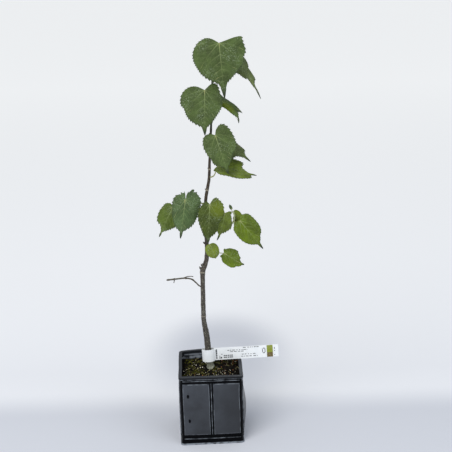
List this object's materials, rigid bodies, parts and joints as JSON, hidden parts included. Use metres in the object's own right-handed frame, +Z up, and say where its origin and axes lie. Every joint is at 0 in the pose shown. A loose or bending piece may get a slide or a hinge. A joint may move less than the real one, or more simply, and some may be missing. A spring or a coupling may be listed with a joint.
{
  "type": "potted young linden tree",
  "caption": "Young linden tree in a square nursery pot of soil: a slender stem with heart-shaped leaves on stalks, a bare side twig, a leafy side shoot and a plain loop tag.",
  "frame": {"origin": "centre of the pot's flat underside, on the surface that the pot stands on", "axes": "+Z up the stem, -Y towards the side that most leaves face, +X towards the side that the tag points to"},
  "size_m": [0.1625, 0.0918, 0.5483],
  "materials": {
    "pot": "thin moulded black nursery pot plastic with a soft grey-blue sheen",
    "soil": "moist peat and bark potting mix with moss, chips and white grit",
    "tag": null,
    "bark": "young bark, grey-brown below and red-brown above, with fine lengthwise grain",
    "green_shoot": "soft green shoot of the same year",
    "dark_leaf": "matt mid green leaf with paler veins and a toothed edge",
    "bright_leaf": "younger yellow-green leaf with pale veins and a toothed edge"
  },
  "bodies": {
    "root": {"pot": "pot", "soil": "soil", "tag": "tag", "stem": "bark", "twig_left": "bark", "shoot_right": "green_shoot", "leaf_01": "dark_leaf", "leaf_02": "dark_leaf", "leaf_03": "dark_leaf", "leaf_04": "dark_leaf", "leaf_05": "dark_leaf", "leaf_06": "dark_leaf", "leaf_07": "bright_leaf", "leaf_08": "dark_leaf", "leaf_09": "bright_leaf", "leaf_10": "bright_leaf", "leaf_11": "dark_leaf", "leaf_12": "bright_leaf", "leaf_13": "bright_leaf", "leaf_14": "bright_leaf", "leaf_15": "bright_leaf", "leaf_16_young": "dark_leaf"}
  },
  "joints": []
}
